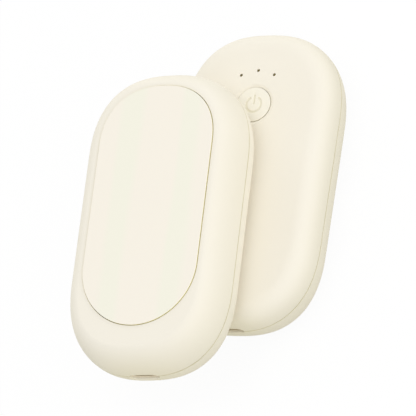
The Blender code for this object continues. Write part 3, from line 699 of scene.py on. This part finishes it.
def grey_foam(finish):
    """Closed-cell foam, with its cells open where it was cut."""
    cells = finish.cells(0.0005)
    patches = finish.noise(0.004, 3.0)
    tone = finish.mix((cells * 1.6).limited(), (0.120, 0.120, 0.126), (0.052, 0.052, 0.055))
    finish.surface(tone, 0.86 + 0.10 * patches, cells, depth=1.5e-4)


def pouch_foil(finish):
    """The cell's laminated foil, faintly creased and printed with nothing."""
    creases = finish.cells(0.0065, "SMOOTH_F1")
    grain = finish.noise(0.00030, 3.0)
    tone = finish.mix(grain, (0.660, 0.665, 0.675), (0.560, 0.565, 0.575))
    height = creases * 0.8 + grain * 0.2
    finish.surface(tone, 0.30 + 0.14 * grain, height, depth=1.2e-4, Metallic=0.9)


def lead_cover(finish, tone, faded):
    """A lead's soft cover, with the extruder's streaks along it."""
    finish.plain(fine=(0.0003, 3.0, 0.5, (1, 1, 12)), tones=(tone, faded),
                 roughness=(0.38, 0.18), depth=8e-6)


def red_cover(finish):
    """The cover of the cell's plus lead."""
    lead_cover(finish, (0.48, 0.020, 0.016), (0.56, 0.045, 0.035))


def black_cover(finish):
    """The cover of the cell's minus lead."""
    lead_cover(finish, (0.012, 0.012, 0.012), (0.030, 0.030, 0.030))


def white_moulding(finish):
    """Plain white moulding with flow lines and a fine grain."""
    finish.plain(fine=(0.0002, 2.0), broad=(0.007, 3.0, 0.5, (1, 4, 1)),
                 tones=((0.790, 0.788, 0.765), (0.740, 0.736, 0.705)),
                 roughness=(0.48, 0.12), depth=8e-6)


def green_board(finish):
    """Green solder mask over copper tracks, which stand up a little under it."""
    half_track, track_slope = 0.035, 40
    edges = finish.cells(0.0032, "DISTANCE_TO_EDGE")
    tracks = (1 - (edges - half_track) * track_slope).limited()
    weave = finish.noise(0.0004, 2.0)
    tone = finish.mix(tracks, (0.016, 0.118, 0.050), (0.036, 0.200, 0.075))
    tone = finish.mix(weave * 0.2, tone, (0.012, 0.080, 0.040))
    height = tracks * 0.8 + weave * 0.2
    finish.surface(tone, 0.26 + 0.10 * weave, height, depth=3.5e-5, Coat_Weight=0.3)


def nickel_plate(finish):
    """Bright nickel plating with faint handling scratches."""
    finish.plain(fine=(0.00012, 4.0, 0.65, (20, 1, 1)),
                 tones=((0.720, 0.705, 0.680), (0.640, 0.625, 0.600)),
                 roughness=(0.14, 0.16), depth=1e-6, Metallic=1.0)


def powder_core(finish):
    """Pressed grey powder of the inductor."""
    grains = finish.cells(0.00016)
    tone = finish.mix((grains * 1.4).limited(), (0.080, 0.080, 0.085), (0.044, 0.044, 0.047))
    finish.surface(tone, 0.55 + 0.20 * grains, grains, depth=2e-5)


def phosphor(finish):
    """Yellow phosphor resin over the light chips."""
    finish.plain(fine=(0.00007, 3.0), tones=((0.820, 0.720, 0.290), (0.760, 0.620, 0.200)),
                 roughness=(0.30, 0.15), depth=4e-6)


def port_tool():
    """What cuts the port's mouth: a slot with round ends that flares to a rounded edge outside."""
    port = given("port")
    half_x, half_z = SOCKET_HALF.x + port.clearance, SOCKET_HALF.z + port.clearance
    outside = -HALF_LENGTH - SOCKET_MIDDLE.y
    flare = port.mouth_round
    rings = [(slot_outline(half_x + flare, half_z + flare), outside - OVERRUN)]
    rings += [(slot_outline(half_x + drop, half_z + drop), outside + inset)
              for inset, drop in rounded_edge(flare)]
    rings.append((slot_outline(half_x, half_z), SOCKET_HALF.y + OVERRUN))
    return "DIFFERENCE", ring_stack(rings, INTO_PORT), (0, SOCKET_MIDDLE.y, SOCKET_MIDDLE.z)


def outside_rings(width, face, fullness):
    """The casing's outside: down a shoulder from its face, then round the edge at the parting line."""
    casing = given("casing")
    half_seam = casing.seam / 2
    pairs = shoulder(width, face, fullness, SHOULDER_STEPS, half_seam + casing.seam_round)
    rings = [(casing_outline(inset), z) for inset, z in reversed(pairs)]
    rings += [(casing_outline(inset), half_seam + drop)
              for inset, drop in rounded_edge(casing.seam_round)[1:]]
    return rings


def inside_rings(width, face, fullness, start):
    """The casing's inside: up a shoulder from a start height to the floor or ceiling."""
    casing = given("casing")
    pairs = shoulder(width * casing.inner_share, face, fullness, INNER_STEPS, start)
    return [(casing_outline(casing.wall + inset), z) for inset, z in pairs]


def plate_casing_mesh():
    """The half of the casing that holds the plate, with the magnets' cups on its floor."""
    casing, plate = given("casing"), given("plate")
    half_seam = casing.seam / 2
    rebate = half_seam + casing.lip_height + SEAT_GAP
    floor_outer = FLOOR_INNER - casing.floor
    rings = [(plate_outline(plate.groove), -floor_outer)]
    rings += [(plate_outline(plate.groove + inset), CASING_FACE - drop)
              for inset, drop in rounded_edge(casing.recess_round)]
    rings += outside_rings(casing.plate_shoulder, CASING_FACE, casing.plate_fullness)
    rings += [(casing_outline(casing.rim), half_seam), (casing_outline(casing.rim), rebate)]
    rings += inside_rings(casing.plate_shoulder, -FLOOR_INNER, casing.plate_fullness, rebate)
    tools = []
    for node in MAGNET_NODES:
        radius = half_size(node).x + SEAT_GAP
        top, root = FLOOR_INNER + casing.rim * CUP_HEIGHT, FLOOR_INNER - casing.floor / 2
        profile = [(0, root), (radius + casing.rim, root), (radius + casing.rim, top), (radius, top),
                   (radius, FLOOR_INNER), (0, FLOOR_INNER)]
        tools.append(("UNION", turned(profile), (0, middle(node).y, 0)))
    low, high = floor_outer - OVERRUN, FLOOR_INNER + OVERRUN
    slot = rounded_box(casing.tail_slot / 2, casing.tail_slot_width / 2, SEAT_GAP)
    tools.append(("DIFFERENCE", ring_stack([(slot, low), (slot, high)]), (0, SENSOR_MIDDLE.y, 0)))
    radius = SENSOR_RADIUS + SEAT_GAP
    hole = turned([(0, low), (radius, low), (radius, high), (0, high)])
    tools.append(("DIFFERENCE", hole, (SENSOR_MIDDLE.x, SENSOR_MIDDLE.y, 0)))
    tools.append(port_tool())
    return combined(ring_stack([(outline, -z) for outline, z in rings]), tools)


def bore_profile(radius, edge, mouth):
    """Profile of a bore through the button's face, from its axis to a rounded edge at its mouth."""
    low = BUTTON_FACE - given("casing").wall - OVERRUN
    rounded = [(radius + inset, mouth - drop) for inset, drop in rounded_edge(edge)]
    return [(0, low), (radius, low), *rounded]


def dish_tool():
    """What cuts the button's hole: a bore whose mouth opens into a shallow dish."""
    button = given("button")
    radius = button.radius + button.gap
    edge = button.gap / 2
    profile = bore_profile(radius, edge, BUTTON_FACE - button.dish_depth)
    for step in range(1, DISH_STEPS + 1):
        share = step / DISH_STEPS
        profile.append((radius + edge + (button.dish_width - edge) * share,
                        BUTTON_FACE - button.dish_depth * (1 - share) ** 2))
    high = BUTTON_FACE + OVERRUN
    profile += [(radius + button.dish_width, high), (0, high)]
    return "DIFFERENCE", turned(profile, CIRCLE_STEPS), (0, CAP_Y, 0)


def pinhole_tool(node):
    """What cuts the pinhole over a light, with a lightly rounded mouth."""
    edge = given("button").pin_clearance
    radius = given("button").pin_radius + edge
    high = BUTTON_FACE + OVERRUN
    profile = bore_profile(radius, edge, BUTTON_FACE) + [(radius + edge, high), (0, high)]
    return "DIFFERENCE", turned(profile), spot(node)


def button_casing_mesh():
    """The half of the casing with the button's dish, the pinholes, the lip and the screw posts."""
    casing = given("casing")
    half_seam = casing.seam / 2
    lip_outer = casing.rim + SEAT_GAP
    ceiling = BUTTON_FACE - casing.wall
    rings = outside_rings(casing.button_shoulder, BUTTON_FACE, casing.button_fullness)
    rings += [(casing_outline(lip_outer), half_seam), (casing_outline(lip_outer), -casing.lip_height),
              (casing_outline(casing.wall), -casing.lip_height)]
    rings += inside_rings(casing.button_shoulder, ceiling, casing.button_fullness, half_seam)
    bore = PLUNGER_RADIUS * POST_BORE
    post = bore + casing.rim * POST_WALL
    low, high = BOARD_TOP + SEAT_GAP, ceiling + casing.wall / 2
    tools = []
    for node in SCREW_NODES:
        tip = heights(node)[1] + SEAT_GAP
        profile = [(0, high), (post, high), (post, low), (bore, low), (bore, tip), (0, tip)]
        tools.append(("UNION", turned(profile), spot(node)))
    tools += [dish_tool(), *map(pinhole_tool, LED_NODES), port_tool()]
    return combined(ring_stack(rings), tools)


def plate_mesh():
    """The heating plate, with its outer edge rounded."""
    edge = given("plate").edge_round
    rings = [(plate_outline(-edge / 2), PLATE_BACK), (plate_outline(0), PLATE_BACK - edge / 2)]
    rings += [(plate_outline(-inset), PLATE_FACE + drop) for inset, drop in rounded_edge(edge)]
    return ring_stack(rings)


def symbol_sink(x, y):
    """How deep the power symbol lies at a point: an open ring, and a bar in its opening."""
    button = given("button")
    half_opening = button.symbol_opening / 2
    if abs(atan2(x, y)) >= half_opening:
        to_ring = abs(hypot(x, y) - button.symbol_radius)
    else:
        to_ring = hypot(abs(x) - button.symbol_radius * sin(half_opening),
                        y - button.symbol_radius * cos(half_opening))
    to_bar = hypot(x, y - min(max(y, button.symbol_line / 2), button.symbol_bar))
    inside = button.symbol_line / 2 - min(to_ring, to_bar)
    share = min(max(inside / button.symbol_slope + 0.5, 0), 1)
    return button.symbol_depth * share * share * (3 - 2 * share)


def cap_mesh():
    """The button's cap, with its flange and nub, and the power symbol sunk into its top."""
    button = given("button")
    edge = button.edge_round
    ceiling = BUTTON_FACE - given("casing").wall
    flange_high = ceiling - SEAT_GAP
    flange_low = flange_high - button.flange
    profile = [(0, CAP_LOW), (PLUNGER_RADIUS, CAP_LOW), (PLUNGER_RADIUS, flange_low),
               (FLANGE_RADIUS, flange_low), (FLANGE_RADIUS, flange_high), (button.radius, flange_high)]
    profile += [(button.radius - inset, CAP_HIGH - drop) for inset, drop in rounded_edge(edge)]
    symbol_reach = button.symbol_radius + button.symbol_line
    profile.append(((button.radius - edge + symbol_reach) / 2, CAP_HIGH))
    profile += [(symbol_reach * step / SYMBOL_RINGS, CAP_HIGH) for step in range(SYMBOL_RINGS, -1, -1)]

    def sink(x, y, z):
        return symbol_sink(x, y) if z > flange_high else 0.0

    return moved(turned(profile, CAP_STEPS, sink), (0, CAP_Y, 0))


def guide_mesh():
    """The light guide: a bar under the face, with a leg over each light and a pin in each pinhole."""
    radius = given("button").pin_radius
    low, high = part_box("rear_light_guide")
    centre = middle("rear_light_guide")
    leg_low, pin_high = heights("rear_light_guide")
    bar_high = BUTTON_FACE - given("casing").wall - SEAT_GAP
    bar_low = bar_high - radius * BAR_THICKNESS
    bar_middle = (bar_low + bar_high) / 2
    bar = rounded_box((high.x - low.x) / 2, (high.y - low.y) / 2, radius * BAR_CORNER)
    leg_radius = radius * LEG_RADIUS
    leg = [(0, leg_low), (leg_radius, leg_low), (leg_radius, bar_middle), (0, bar_middle)]
    pin = [(0, bar_middle), (radius, bar_middle)]
    pin += [(radius - inset, pin_high - drop) for inset, drop in rounded_edge(radius * PIN_ROUND)]
    pin.append((0, pin_high))
    tools = []
    for node in LED_NODES:
        place = (middle(node).x - centre.x, middle(node).y - centre.y, 0)
        tools += [("UNION", turned(profile), place) for profile in (pin, leg)]
    mesh = combined(ring_stack([(bar, bar_low), (bar, bar_high)]), tools)
    return moved(mesh, (centre.x, centre.y, 0))


def sleeve_mesh():
    """The charging port's metal sleeve, closed behind, with rounded edges at its mouth."""
    port = given("port")
    back, mouth, edge = SOCKET_HALF.y, port.sink - SOCKET_HALF.y, port.sleeve_round

    def outline(inset):
        return slot_outline(SOCKET_HALF.x - inset, SOCKET_HALF.z - inset)

    rings = [(outline(edge), back), (outline(0), back - edge)]
    rings += [(outline(inset), mouth + drop) for inset, drop in rounded_edge(edge)]
    rings += [(outline(port.wall - drop), mouth + inset) for inset, drop in rounded_edge(edge)]
    rings.append((outline(port.wall), back - port.wall))
    return moved(ring_stack(rings, INTO_PORT), SOCKET_MIDDLE)


def tongue_mesh():
    """The port's contact tongue, with a nose that tapers."""
    nose = TONGUE_HALF.z * TONGUE_NOSE

    def outline(inset):
        return rounded_box(TONGUE_HALF.x - inset, TONGUE_HALF.z - inset, TONGUE_HALF.z * TONGUE_CORNER)

    rings = [(outline(nose / 2), -TONGUE_HALF.y), (outline(0), nose - TONGUE_HALF.y),
             (outline(0), TONGUE_HALF.y)]
    return moved(ring_stack(rings, INTO_PORT), TONGUE_MIDDLE)


def contacts_mesh():
    """The flat contacts on both sides of the tongue, each with a nose that dips into the resin."""
    port = given("port")
    shape = bmesh.new()
    half, height = port.contact_width / 2, port.contact_height
    start = -TONGUE_HALF.y + port.pitch * CONTACT_START
    end = start + port.contact_length
    profile = [(start, -2 * height), (start, -height), (start + port.pitch / 2, height),
               (end, height), (end, -height), (end, -2 * height)]
    for side in (1, -1):
        for index in range(port.contacts):
            x = (index - (port.contacts - 1) / 2) * port.pitch
            join_rows(shape, [[shape.verts.new((x + across, y, side * (TONGUE_HALF.z + rise)))
                               for y, rise in profile] for across in (-half, half)])
    return moved(finished(shape), TONGUE_MIDDLE)


class WARMER_OT_casings(bpy.types.Operator):
    """Make both halves of both casings"""

    bl_idname = "warmer.casings"
    bl_label = "Casings"

    def execute(self, context):
        finishes = for_units(cream_casing)
        place_in_units("plate_casing", plate_casing_mesh(), finishes, stands_for="plate_shell",
                       even=True)
        place_in_units("button_casing", button_casing_mesh(), finishes, stands_for="button_shell",
                       even=True)
        return {"FINISHED"}


class WARMER_OT_plates(bpy.types.Operator):
    """Make the heating plates"""

    bl_idname = "warmer.plates"
    bl_label = "Heating plates"

    def execute(self, context):
        place_in_units("heating_plate", plate_mesh(), for_units(coated_plate), stands_for="heat_plate",
                       even=True)
        return {"FINISHED"}


class WARMER_OT_buttons(bpy.types.Operator):
    """Make the power buttons"""

    bl_idname = "warmer.buttons"
    bl_label = "Power buttons"

    def execute(self, context):
        place_in_units("power_button", cap_mesh(), for_units(cream_cap), rides="button",
                       stands_for="button_cap", even=True)
        return {"FINISHED"}


class WARMER_OT_indicators(bpy.types.Operator):
    """Make the light guides whose pins fill the pinholes"""

    bl_idname = "warmer.indicators"
    bl_label = "Indicators"

    def execute(self, context):
        place_in_units("indicator_guide", guide_mesh(), for_units(smoked_lens), stands_for="light_guide")
        return {"FINISHED"}


class WARMER_OT_ports(bpy.types.Operator):
    """Make the charging ports"""

    bl_idname = "warmer.ports"
    bl_label = "Charging ports"

    def execute(self, context):
        place_in_units("port_sleeve", sleeve_mesh(), for_units(warm_nickel),
                       stands_for="usb_socket_shell")
        place_in_units("port_tongue", tongue_mesh(), for_units(black_resin),
                       stands_for="usb_socket_tongue")
        place_in_units("port_contacts", contacts_mesh(), for_units(plated_gold))
        return {"FINISHED"}


# The solids that keep their shape, by the finish that each takes
INNER_FINISHES = {
    red_cover: ["battery_lead_plus"],
    black_cover: ["battery_lead_minus"],
    amber_film: ["heating_film"],
    grey_foam: ["insulation_pad"],
    pouch_foil: ["battery_cell"],
    white_moulding: ["inner_frame"],
    green_board: ["circuit_board"],
    stamped_steel: ["frame_screw_upper", "frame_screw_lower", "switch_body"],
    black_resin: ["switch_plunger", "temperature_sensor", "charge_chip"],
    nickel_plate: ["magnet_upper", "magnet_lower"],
    powder_core: ["power_inductor"],
    phosphor: ["led_left", "led_middle", "led_right"],
}


class WARMER_OT_inner_parts(bpy.types.Operator):
    """Give the solids inside the casings their finishes"""

    bl_idname = "warmer.inner_parts"
    bl_label = "Inner parts"

    def execute(self, context):
        for unit in UNITS:
            for finish_of, nodes in INNER_FINISHES.items():
                material = made(finish_of, unit)
                for node in nodes:
                    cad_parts[f"{unit}_{node}"].material_slots[0].material = material
        return {"FINISHED"}


def pale_ground(finish):
    """Card that shows nearly white and keeps the pair's shadow."""
    stage = given("stage")
    seen = finish.seen()
    tone = finish.mix(finish.noise(0.05, 3.0), stage.card, [part * 0.96 for part in stage.card])
    tone = finish.mix(seen, tone, (1, 1, 1))
    card = finish.node("ShaderNodeBsdfDiffuse", {}, {"Color": tone})
    white = finish.node("ShaderNodeEmission", {}, {"Strength": 1.0})
    mixed = finish.node("ShaderNodeMixShader", {}, {0: seen * stage.floor_white, 1: card, 2: white})
    finish.node("ShaderNodeOutputMaterial", {}, {"Surface": mixed})


def make_sky(stage):
    """Even light from all round, which the camera, gloss and glass see as white."""
    world = bpy.data.worlds.new("studio")
    bpy.context.scene.world = world
    sky = Recipe(world)
    white = [1, 1, 1, 1]
    light = sky.node("ShaderNodeBackground", {}, {"Color": white, "Strength": stage.sky})
    backdrop = sky.node("ShaderNodeBackground", {}, {"Color": white, "Strength": 1.0})
    shown = sky.node("ShaderNodeMixShader", {}, {0: sky.seen(), 1: light, 2: backdrop})
    sky.node("ShaderNodeOutputWorld", {}, {"Surface": shown})


def direction(azimuth, elevation):
    """The way from the pair to a camera or lamp at an azimuth and elevation in degrees."""
    around, up = radians(azimuth), radians(elevation)
    return Vector((sin(around) * cos(up), -cos(around) * cos(up), sin(up)))


class WARMER_OT_stage(bpy.types.Operator):
    """Make the ground, the even light, the lamps and the camera"""

    bl_idname = "warmer.stage"
    bl_label = "Stage"

    def execute(self, context):
        scene = context.scene
        stage = given("stage")
        aim = Vector(stage.aim)
        shape = bmesh.new()
        bmesh.ops.create_circle(shape, cap_ends=True, segments=CIRCLE_STEPS, radius=stage.floor_radius)
        ground = added("ground", finished(shape))
        ground.location.z = -SEAT_GAP
        ground.data.materials.append(made(pale_ground))
        make_sky(stage)
        for name, (azimuth, elevation, power) in LAMPS.items():
            data = bpy.data.lights.new(name, "AREA")
            data.shape = "DISK"
            data.size = LAMP_WIDTH
            data.energy = power
            lamp = added(name, data)
            away = direction(azimuth, elevation)
            lamp.location = aim + away * LAMP_DISTANCE
            lamp.rotation_euler = away.to_track_quat("Z", "Y").to_euler()
            lamp.visible_glossy = False  # no glare in the gloss
        camera = added("camera", bpy.data.cameras.new("camera"))
        back = direction(stage.azimuth, stage.elevation)
        camera.location = aim + back * stage.distance
        lean = Quaternion((0, 0, 1), -radians(stage.roll))
        camera.rotation_euler = (back.to_track_quat("Z", "Y") @ lean).to_euler()
        camera.data.lens = stage.lens
        scene.camera = camera
        scene.view_settings.view_transform = "Standard"
        return {"FINISHED"}


OPERATORS = (WARMER_OT_casings, WARMER_OT_plates, WARMER_OT_buttons, WARMER_OT_indicators,
             WARMER_OT_ports, WARMER_OT_inner_parts, WARMER_OT_stage)
SETTINGS = {
    "casing": CasingSettings,
    "plate": PlateSettings,
    "button": ButtonSettings,
    "port": PortSettings,
    "stage": StageSettings,
}


class WARMER_PT_panel(bpy.types.Panel):
    """Lists the settings and the steps"""

    bl_label = "Hand warmer"
    bl_idname = "WARMER_PT_panel"
    bl_space_type = "VIEW_3D"
    bl_region_type = "UI"
    bl_category = "Hand warmer"

    def draw(self, context):
        for name, group in SETTINGS.items():
            box = self.layout.box()
            for setting in group.__annotations__:
                box.prop(given(name), setting)
        for operator in OPERATORS:
            self.layout.operator(operator.bl_idname)


def register():
    for entry in (*SETTINGS.values(), *OPERATORS, WARMER_PT_panel):
        bpy.utils.register_class(entry)
    for name, group in SETTINGS.items():
        setattr(bpy.types.Scene, f"warmer_{name}", PointerProperty(type=group))


def unregister():
    for name in SETTINGS:
        delattr(bpy.types.Scene, f"warmer_{name}")
    for entry in reversed((*SETTINGS.values(), *OPERATORS, WARMER_PT_panel)):
        bpy.utils.unregister_class(entry)


def main():
    """Build the pair's looks in order."""
    register()
    bpy.ops.warmer.casings()
    bpy.ops.warmer.plates()
    bpy.ops.warmer.buttons()
    bpy.ops.warmer.indicators()
    bpy.ops.warmer.ports()
    bpy.ops.warmer.inner_parts()
    bpy.ops.warmer.stage()


if __name__ == "__main__":
    main()
